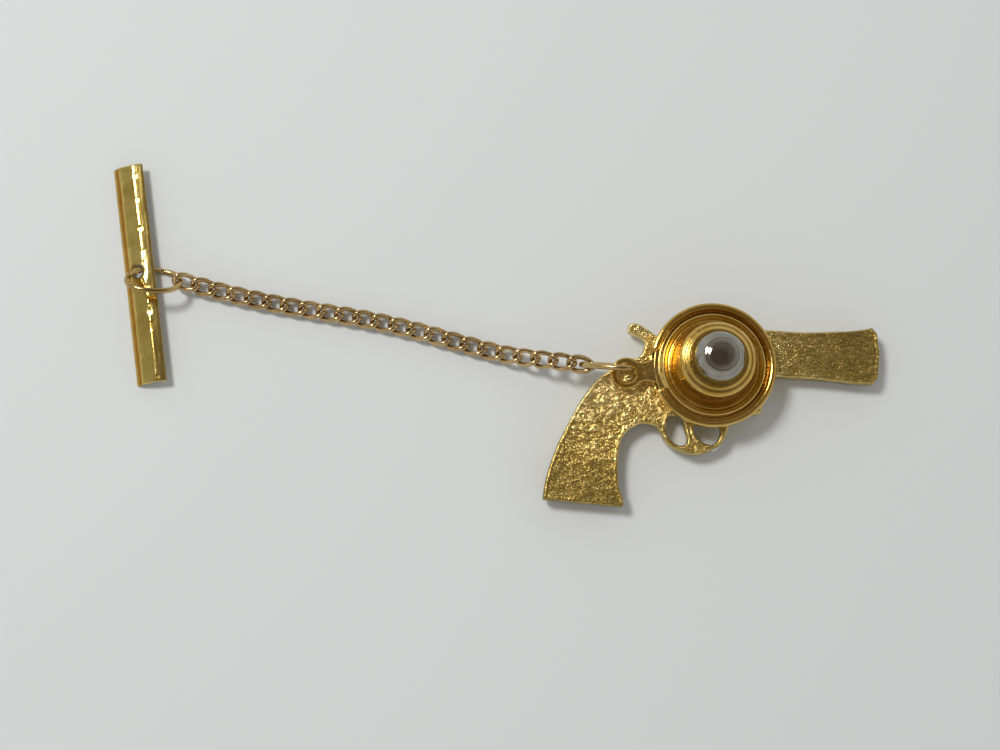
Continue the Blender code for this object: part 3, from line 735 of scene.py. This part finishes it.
def housing():
    """The housing's profile: brim, base bead, groove, tapering wall, shoulder, top bead and the hole for the
    cap's neck, with every corner a parabola."""
    low = BRIM_Z - SHEET
    top = DOME_Z
    profile = softened(
        (
            (1.72, top), (2.14, top), (2.30, top + 0.14), (2.46, top + 0.18), (2.62, top + 0.13),
            (2.76, top + 0.00), (3.02, top - 0.03), (3.20, top - 0.20), (3.27, top - 0.44), (3.48, 4.72),
            (3.70, 3.65), (3.80, 3.26), (3.96, 3.14), (4.12, 3.28), (4.22, 3.39), (4.33, 3.42),
            (4.44, 3.39), (4.54, 3.28), (4.66, 3.08), (4.80, BRIM_Z), (5.20, BRIM_Z),
            (5.20, low), (4.64, low), (4.46, 3.04), (4.24, 3.08), (4.06, 2.90), (3.70, 2.88),
            (3.52, 3.24), (3.46, 3.60), (3.03, top - 0.46), (2.90, top - 0.25), (1.72, top - 0.25),
        ),
        0.14,
        6,
    )
    turned(
        "clutch_housing_spun", profile[:, 0], profile[:, 1], 160,
        body="clutch_shell", nodes=["clutch_housing"], slot="housing_gilt", material=HOUSING_GILT,
    )


def arm_distance(x, y):
    """Signed distance to the arm: a strip that flares into the brim, joined smoothly with the eye's disc,
    less the eye's hole."""
    half = ARM_HALF - 0.02 + 0.72 * np.clip((5.95 - x) / 1.45, 0.0, 1.0) ** 1.8
    strip = np.minimum(half - np.abs(y), np.minimum(x - 4.5, EYE_REACH - x))
    rho = np.hypot(x - EYE_REACH, y)
    disc = EYE_R - rho
    near = np.clip(0.5 + 0.5 * (strip - disc) / 0.35, 0.0, 1.0)
    joined = disc + (strip - disc) * near + 0.35 * near * (1 - near)
    return np.minimum(joined, rho - EYE_HOLE_R)


def arm_surface(side):
    """The arm's upper or lower face: sheet with rounded edges, crowned a little where it leaves the housing,
    and a low round rim about the eye where the hole was punched."""
    def face(x, y, d):
        edge = np.clip(1.0 - d / 0.10, 0.0, 1.0)
        half = 0.11 * (0.25 + 0.75 * np.sqrt(1.0 - edge**2))
        rho = np.hypot(x - EYE_REACH, y)
        rim = 0.035 * np.clip(1.0 - ((rho - 1.12) / 0.26) ** 2, 0.0, 1.0)
        dip = 0.018 * lumps(x, y, 0.8, 21) * smoothstep((x - 5.4) / 0.5)
        crown = 0.045 * np.clip(1.0 - (y / ARM_HALF) ** 2, 0.0, 1.0) * smoothstep((6.6 - x) / 0.8)
        return np.stack([x, y, BRIM_Z - SHEET / 2 + side * (half + rim) + dip + crown - 0.04], -1)

    return face


def arm():
    """The arm and eye, turned to where they leave the housing."""
    c = np.cos(ARM_TURN)
    s = np.sin(ARM_TURN)
    axes = np.array([[c, s, 0.0], [-s, c, 0.0], [0.0, 0.0, 1.0]])
    plate(
        "clutch_arm_and_eye", arm_distance, (4.4, -1.8), (9.2, 1.8), 0.055,
        arm_surface(1.0), arm_surface(-1.0), PIN, axes,
        body="clutch_shell", nodes=[], slot="housing_gilt", material=HOUSING_GILT,
    )


def clutch_inside():
    """The ball race, the lock balls and the spring; the cage keeps its CAD shape."""
    race = softened(
        ((3.04, 4.10), (3.25, 3.25), (3.25, 2.56), (1.60, 2.56), (1.60, 2.95), (2.04, 4.10)), 0.06
    )
    turned(
        "clutch_ball_race_turned", race[:, 0], race[:, 1], 72,
        body="clutch_core", nodes=["clutch_ball_race"], slot="steel", material=STEEL,
    )
    t = np.linspace(0.0, np.pi, 17)
    for n in range(3):
        node = f"lock_ball_{n + 1}"
        low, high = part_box(node)
        middle = (np.array(low) + np.array(high)) / 2
        turned(
            f"{node}_ground", BALL_R * np.sin(t), BALL_R * np.cos(t), 32, closed=False, centre=middle,
            body="release_plunger", nodes=[node], slot="steel", material=STEEL,
        )
    low = 4.53
    high = DOME_Z - 0.40
    turns = np.linspace(0.0, 3.5, 170)
    rise = low + (high - low) * turns / 3.5
    coil = np.stack([1.76 * np.cos(2 * np.pi * turns), 1.76 * np.sin(2 * np.pi * turns), rise], -1)
    tube(
        "release_spring_coiled", coil, 0.11, 10, PIN, np.eye(3), closed=False,
        body="release_plunger", nodes=["release_spring"], slot="steel", material=STEEL,
    )
    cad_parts["release_cage"].data.materials.clear()
    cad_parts["release_cage"].data.materials.append(CAGE_BRASS)


def release_cap():
    """The button: a shallow dome that turns under into its neck, hollow over the pin's point."""
    dome = softened(
        (
            (0.0, CAP_TOP_Z), (0.60, CAP_TOP_Z - 0.032), (1.15, CAP_TOP_Z - 0.15), (1.66, CAP_TOP_Z - 0.42),
            (2.04, CAP_TOP_Z - 0.90), (2.19, CAP_TOP_Z - 1.50), (2.10, 6.66), (1.92, 6.44), (1.92, 6.30),
            (1.40, 6.30), (1.40, 7.06), (0.75, 7.06), (0.75, 7.60), (0.0, 7.72),
        ),
        (0.0, 0.30, 0.30, 0.30, 0.30, 0.24, 0.13, 0.10, 0.05, 0.03, 0.05, 0.05, 0.05, 0.0),
        7,
    )[7:-7]
    dome = np.concatenate([[(0.0, CAP_TOP_Z)], dome, [(0.0, 7.72)]])
    turned(
        "release_cap_polished", dome[:, 0], dome[:, 1], 128, closed=False,
        body="release_plunger", nodes=["release_cap"], slot="cap_nickel", material=CAP_NICKEL,
    )


base_cup()
housing()
arm()
clutch_inside()
release_cap()


# ---- chain ----
def oval_path(a, b, count, square):
    """Points of an oval of half length a and half width b: powers of cosine and sine, square being 2 for an
    ellipse and more for straighter sides."""
    t = np.linspace(0.0, 2 * np.pi, count, endpoint=False)
    c = np.cos(t)
    s = np.sin(t)
    x = a * np.sign(c) * np.abs(c) ** (2 / square)
    y = b * np.sign(s) * np.abs(s) ** (2 / square)
    evened = np.cumsum(np.hypot(np.roll(x, -1) - x, np.roll(y, -1) - y))
    share = np.concatenate([[0.0], evened[:-1]]) / evened[-1]
    at = np.linspace(0.0, 1.0, count, endpoint=False)
    return np.interp(at, np.append(share, 1.0), np.append(x, x[0])), np.interp(
        at, np.append(share, 1.0), np.append(y, y[0])
    )


def curb_link(number):
    """A link: an oval of round wire whose point at x is turned about its length by x's share of the twist,
    with the closed butt of the wire a shallow groove in one side."""
    node = f"chain_link_{number:02d}"
    place, axes = own_axes(node)
    x, y = oval_path(LINK_A, LINK_B, 64, LINK_SQUARE)
    t = LINK_TWIST * x / LINK_A
    path = np.stack([x, y * np.cos(t), y * np.sin(t)], -1)
    run = np.linspace(0.0, 1.0, 64, endpoint=False)
    butt = 0.23 + 0.02 * np.sin(number * 2.3)
    wire = LINK_WIRE * (1.0 - 0.16 * np.exp(-(((run - butt) / 0.012) ** 2)))
    wire = wire * (1.0 + 0.03 * np.sin(2 * np.pi * run * 2 + number))
    wire = np.minimum(wire, LINK_WIRE * 1.02)
    tube(
        f"{node}_wire", path, wire, 16, place, axes,
        body=node, nodes=[node], slot="chain_gilt", material=CHAIN_GILT,
    )


def jump_ring(node, half_length, half_width, butt):
    """A ring bent from round wire: an oval path, slightly sprung open sideways at its butt."""
    place, axes = own_axes(node)
    x, y = oval_path(half_length, half_width, 96, 2.3)
    run = np.linspace(0.0, 1.0, 96, endpoint=False)
    off = (run - butt + 0.5) % 1.0 - 0.5
    path = np.stack([x, y, 0.02 * np.sign(off) * np.exp(-np.abs(off) / 0.05)], -1)
    wire = RING_WIRE * (1.0 - 0.22 * np.exp(-((off / 0.008) ** 2)))
    tube(
        f"{node}_wire", path, wire, 20, place, axes,
        body=node, nodes=[node], slot="ring_gilt", material=RING_GILT,
    )


for number in range(1, LINKS + 1):
    curb_link(number)


def ring_halves(node):
    """Half length and half width of a ring's wire line, from the CAD solid."""
    points = cad_points(node)
    place, axes = own_axes(node)
    spread = np.abs((points - place) @ axes.T).max(0) / MM
    return spread[0] - RING_WIRE, spread[1] - RING_WIRE


jump_ring("clutch_ring", *ring_halves("clutch_ring"), 0.40)
jump_ring("bar_ring", *ring_halves("bar_ring"), 0.20)


# ---- T-bar ----
def fold(v):
    """Where a point v mm across the flat strip lies once it is bent: the strip's slope grows from 0 to the
    wall's by a smoothstep over each bend, and its place is the running sum of its cosine and sine."""
    bend = 0.17
    run = np.linspace(0.0, BAR_FLAT + BAR_WALL, 600)
    slope = BAR_SLOPE * smoothstep((run - BAR_FLAT + bend) / (2 * bend))
    step = run[1] - run[0]
    x = np.concatenate([[0.0], np.cumsum(np.cos(slope))[:-1]]) * step
    z = -np.concatenate([[0.0], np.cumsum(np.sin(slope))[:-1]]) * step
    at = np.abs(v)
    side = np.sign(v)
    return side * np.interp(at, run, x), np.interp(at, run, z), side * np.interp(at, run, slope)


def t_bar():
    """The bar: a flat strip with one hole, folded along its length into an open trough. Its outer face
    carries the small dents of handling along the bends."""
    place, axes = own_axes("t_bar")
    points = (cad_points("t_bar") - place) @ axes.T / MM
    top_z = points[:, 2].max() - 0.012
    half = np.abs(points[:, 0]).max() - 0.01
    width = BAR_FLAT + BAR_WALL - 0.02

    def distance(x, y):
        ends = half - np.abs(x) - 0.03 * np.abs(lumps(y, x * 0, 0.5, 31))
        return np.minimum(np.minimum(ends, width - np.abs(y)), np.hypot(x - BAR_HOLE_SHIFT, y) - BAR_HOLE_R)

    def face(outer):
        def surface(x, y, d):
            edge = np.clip(1.0 - d / 0.09, 0.0, 1.0)
            half_sheet = (BAR_SHEET / 2 - 0.01) * (0.35 + 0.65 * np.sqrt(1.0 - edge**2))
            across, height, slope = fold(y)
            deep = BAR_SHEET / 2 - outer * half_sheet
            at_bend = np.exp(-(((np.abs(y) - BAR_FLAT - 0.05) / 0.22) ** 2))
            dent = at_bend * 0.050 * np.clip(lumps(x, y, 0.55, 32) - 0.05, 0.0, 1.0)
            wave = 0.006 * (1 + lumps(x, y * 0.5, 2.4, 33))
            deep = deep + (dent + wave) * (1.0 if outer > 0 else 0.0)
            return np.stack([x, across - deep * np.sin(slope), top_z + height - deep * np.cos(slope)], -1)

        return surface

    plate(
        "t_bar_pressed", distance, (-10.3, -1.8), (10.3, 1.8), 0.075, face(1.0), face(-1.0), place, axes,
        ("bar_run", "bar_width"), body="t_bar", nodes=["t_bar"], slot="bar_gilt", material=BAR_GILT,
    )


t_bar()


# ---- table, light and camera ----
TABLE_GAP = 0.00002            # metres between the piece and the table


def table():
    """A plain pale table: one level face, off-white and matt."""
    size = 1.2
    corners = np.array([(-size, -size, 0.0), (size, -size, 0.0), (size, size, 0.0), (-size, size, 0.0)])
    corners[:, 2] = cad_low[2] - TABLE_GAP
    mesh = bpy.data.meshes.new("table")
    mesh.from_pydata(corners.tolist(), [], [(0, 1, 2, 3)])
    material = bpy.data.materials.new("matt_off_white_board")
    material.use_nodes = True
    shader = material.node_tree.nodes["Principled BSDF"]
    shader.inputs["Base Color"].default_value = colour("#e6edf4")
    shader.inputs["Roughness"].default_value = 0.9
    mesh.materials.append(material)
    obj = bpy.data.objects.new("table", mesh)
    bpy.context.scene.collection.objects.link(obj)


def aimed(obj, at, towards):
    """Stands a light or camera at a point and turns it to face another."""
    direction = np.array(towards) - np.array(at)
    obj.location = at
    obj.rotation_euler = Vector(direction).to_track_quat("-Z", "Y").to_euler()
    bpy.context.scene.collection.objects.link(obj)
    return obj


def softbox(name, at, size, watts, tint):
    """A square soft light aimed at the middle of the piece."""
    light = bpy.data.lights.new(name, "AREA")
    light.shape = "RECTANGLE"
    light.size = size[0]
    light.size_y = size[1]
    light.energy = watts
    light.color = colour(tint)[:3]
    return aimed(bpy.data.objects.new(name, light), at, (0.0, 0.0, 0.0))


def room():
    """The studio's soft surround: pale all round, dimmer straight overhead where the camera hangs."""
    world = bpy.data.worlds.new("studio")
    bpy.context.scene.world = world
    world.use_nodes = True
    tree = world.node_tree
    tree.nodes.clear()
    way = add(tree, "ShaderNodeTexCoord").outputs["Generated"]
    up = add(tree, "ShaderNodeSeparateXYZ", {0: way}).outputs[2]
    tone = ramp(
        tree, up,
        (
            (0.0, "#bebebc"), (0.34, "#bdbdba"), (0.545, "#aaa8a4"), (0.71, "#918d86"), (0.85, "#7d766c"),
            (0.966, "#5c534c"),
        ),
    )
    back = add(tree, "ShaderNodeBackground", {"Color": tone, "Strength": 1.25}).outputs[0]
    add(tree, "ShaderNodeOutputWorld", {"Surface": back})


table()
room()
softbox("window_upper_left", (-0.20, 0.15, 0.38), (0.11, 0.11), 1.05, "#fffaf2")

camera = bpy.data.cameras.new("camera")
camera.lens = 50.4
camera.sensor_width = 36.0
camera.clip_start = 0.001
camera.clip_end = 10.0
bpy.context.scene.view_settings.view_transform = "Standard"
bpy.context.scene.camera = aimed(
    bpy.data.objects.new("camera", camera), (0.00096, -0.02547, 0.12310), (0.00096, -0.00376, 0.0)
)
